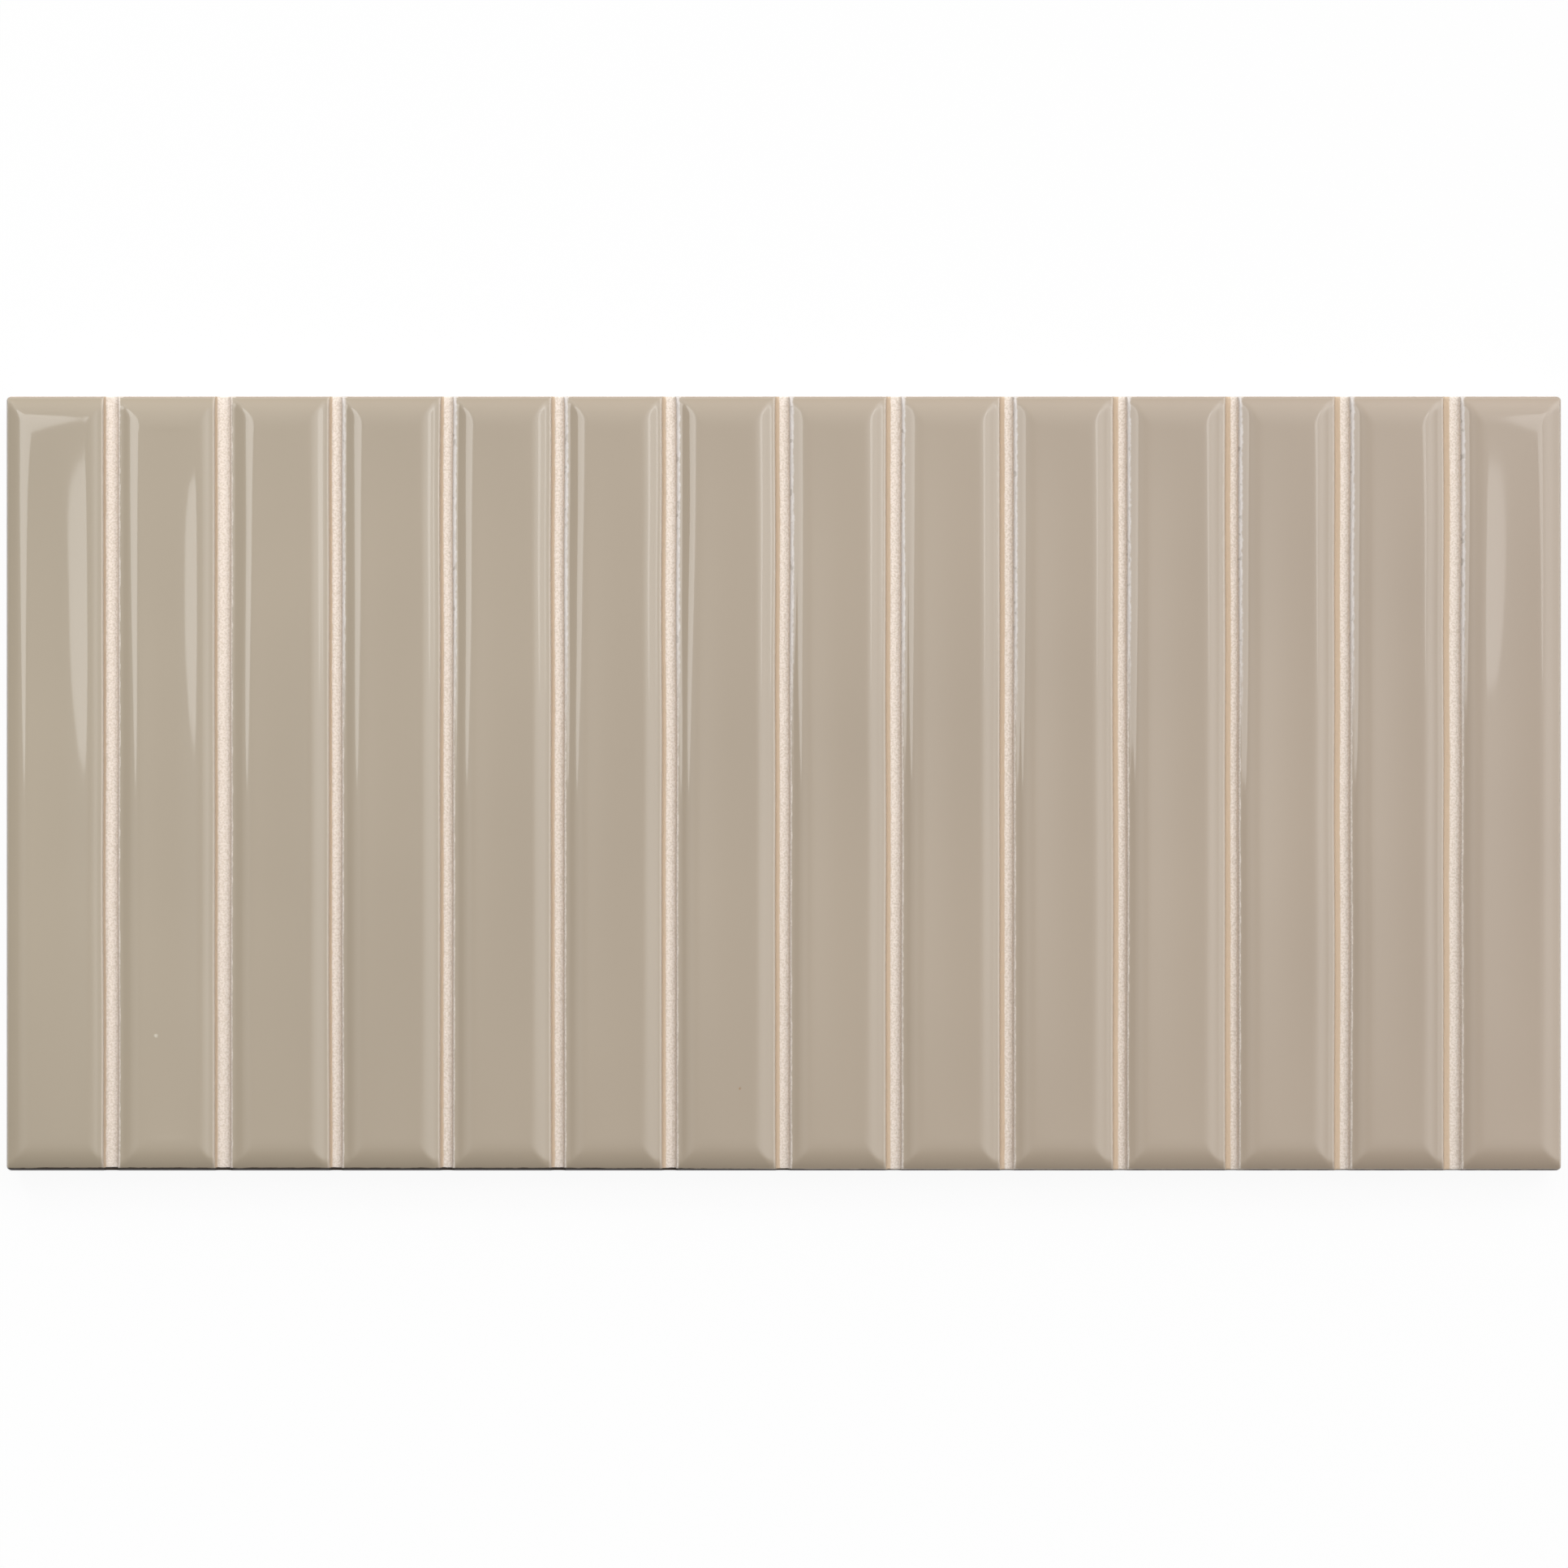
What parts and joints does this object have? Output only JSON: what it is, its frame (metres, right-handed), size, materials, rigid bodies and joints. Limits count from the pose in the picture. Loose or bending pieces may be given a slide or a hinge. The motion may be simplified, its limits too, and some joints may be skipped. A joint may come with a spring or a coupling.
{
  "type": "ceramic wall tile",
  "caption": "Rectangular glazed ceramic wall tile with a row of raised bevelled bars, narrow unglazed grooves between them and a channelled back, for facing a wall.",
  "frame": {"origin": "middle of the back face, which lies on the floor", "axes": "+X across the bars along the long side, +Y along the bars, +Z out of the glazed face"},
  "size_m": [0.23, 0.1146, 0.009],
  "materials": {
    "glazed_body": "gloss greige glaze on the bars, matt cream unglazed body in the grooves, on the sides and on the back"
  },
  "bodies": {
    "root": {"wall_tile": "glazed_body"}
  },
  "joints": []
}
